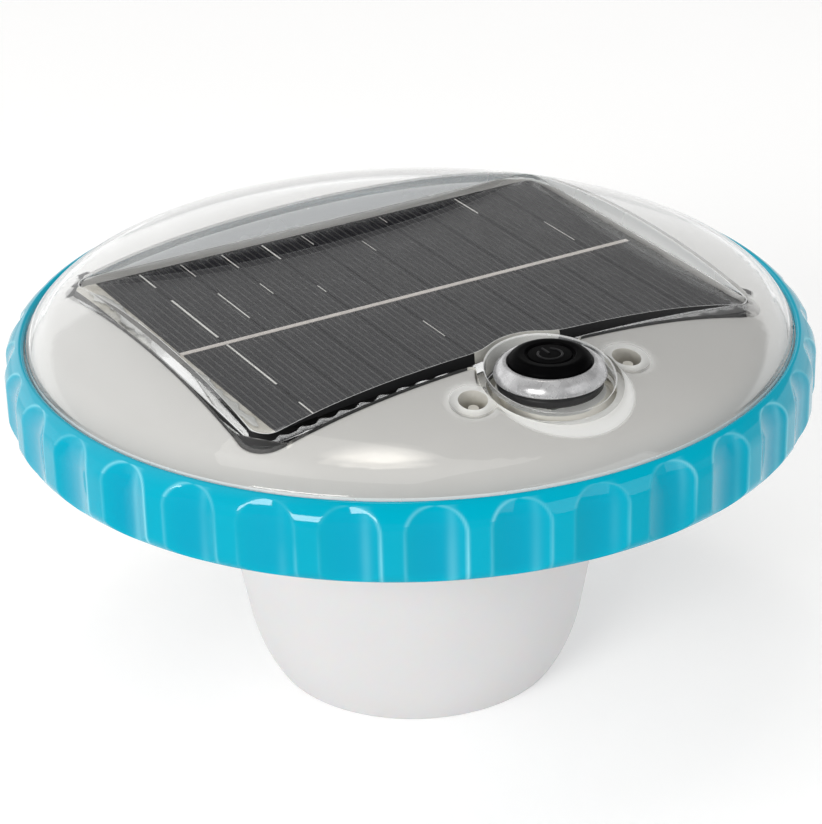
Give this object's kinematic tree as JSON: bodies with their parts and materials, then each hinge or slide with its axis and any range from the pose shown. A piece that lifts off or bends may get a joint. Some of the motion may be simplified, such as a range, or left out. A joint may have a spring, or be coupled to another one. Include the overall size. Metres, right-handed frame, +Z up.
{
  "type": "floating pool light",
  "caption": "Round floating solar pool light: clear dome with a sunken solar panel and a push button, fluted turquoise grip ring, and a frosted light bulb hanging below.",
  "frame": {"origin": "centre of the bulb's flat foot, where the light stands on a floor", "axes": "+Z up through the dome, +X to the right and +Y away from the side that carries the button"},
  "size_m": [0.1649, 0.165, 0.0906],
  "materials": {
    "clear_plastic": "gloss",
    "deck_white": "satin",
    "pan_white": "satin",
    "ring_turquoise": "gloss",
    "bulb_white": "satin",
    "seal_rubber": "matte",
    "button_rubber": "satin",
    "zinc_steel": "satin",
    "bezel_chrome": "satin",
    "clamp_plastic": "matte",
    "panel_board": "satin",
    "screw_nylon": "satin",
    "silicon": "gloss",
    "ribbon_tin": "satin",
    "adhesive_clear": "gloss",
    "switch_black": "matte",
    "board_white": "satin",
    "lamp_chip": "gloss",
    "socket_cream": "matte",
    "battery_sleeve": "gloss",
    "holder_black": "matte",
    "chip_black": "matte",
    "capacitor_can": "satin",
    "ferrite": "matte",
    "spring_steel": "satin",
    "lead_red": "satin",
    "lead_black": "satin"
  },
  "bodies": {
    "root": {"dome_cover": "clear_plastic", "inner_deck": "deck_white", "float_pan": "pan_white", "diffuser_bulb": "bulb_white", "bulb_clamp_ring": "clamp_plastic", "rim_oring": "seal_rubber", "bulb_oring": "seal_rubber", "clamp_screws": "zinc_steel", "deck_screws": "screw_nylon", "solar_board": "panel_board", "solar_cells": "silicon", "bus_ribbon": "ribbon_tin", "panel_adhesive": "adhesive_clear", "switch_housing": "bezel_chrome", "bezel_gasket": "seal_rubber", "switch_core": "switch_black", "switch_nut": "bezel_chrome", "switch_terminals": "ribbon_tin", "light_board": "board_white", "light_chips": "lamp_chip", "lead_sockets": "socket_cream", "battery_cells": "battery_sleeve", "battery_holder": "holder_black", "battery_lid": "holder_black", "battery_plates": "spring_steel", "charge_chip": "chip_black", "driver_chip": "chip_black", "power_inductor": "ferrite", "storage_capacitor": "capacitor_can", "board_screws": "zinc_steel", "return_spring": "spring_steel", "battery_springs": "spring_steel", "positive_leads": "lead_red", "negative_leads": "lead_black"},
    "lock_ring": {"lock_ring": "ring_turquoise"},
    "power_button": {"button_cap": "button_rubber", "button_plunger": "switch_black"}
  },
  "joints": [
    {"name": "ring_twist", "type": "hinge", "parent": "root", "child": "lock_ring", "pos_m": [0, 0, 0.069], "axis": [0, 0, 1], "range_deg": [0, 20]},
    {"name": "button_press", "type": "slide", "parent": "root", "child": "power_button", "axis": [0, 0, -1], "range_m": [0, 0.001], "stiffness_N_per_m": 3000, "deforming": ["return_spring"]}
  ]
}
